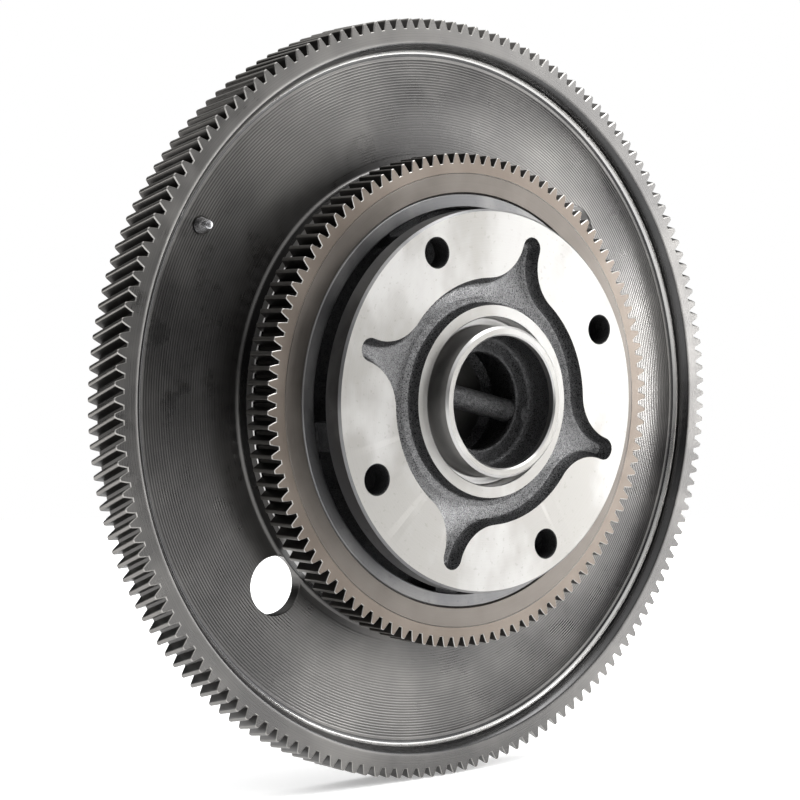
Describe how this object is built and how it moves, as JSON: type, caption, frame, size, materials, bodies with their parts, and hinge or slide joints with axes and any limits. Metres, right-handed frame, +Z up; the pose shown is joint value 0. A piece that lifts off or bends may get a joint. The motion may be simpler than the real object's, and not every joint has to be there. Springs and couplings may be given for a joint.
{
  "type": "flywheel",
  "caption": "Engine flywheel with helical rim teeth, a shrunk-on starter ring gear, a dished web and a cast output hub with a centring spigot.",
  "frame": {"origin": "middle of the crankshaft mounting face, on the crankshaft axis", "axes": "Y along the crankshaft axis with the output hub toward -Y, +Z up, +X to the right seen from the hub side"},
  "size_m": [0.4402, 0.0944, 0.4402],
  "materials": {
    "turned_steel": "dark turned steel with fine concentric tool marks",
    "heat_tinted_steel": "hobbed steel ring with a tan heat tint",
    "hub_iron": "cast iron, machined bright on the flange and spigot and rough in the recess",
    "plug_steel": "pressed zinc-plated sheet steel",
    "screw_steel": "black oxide",
    "washer_steel": "plated spring steel",
    "ground_steel": "ground and polished dowel steel"
  },
  "bodies": {
    "root": {"flywheel_disc": "turned_steel", "starter_ring_gear": "heat_tinted_steel", "output_hub": "hub_iron", "core_plug": "plug_steel", "hub_screws": "screw_steel", "lock_washers": "washer_steel", "hub_dowels": "ground_steel", "crank_dowel": "ground_steel", "index_pin": "ground_steel"}
  },
  "joints": []
}
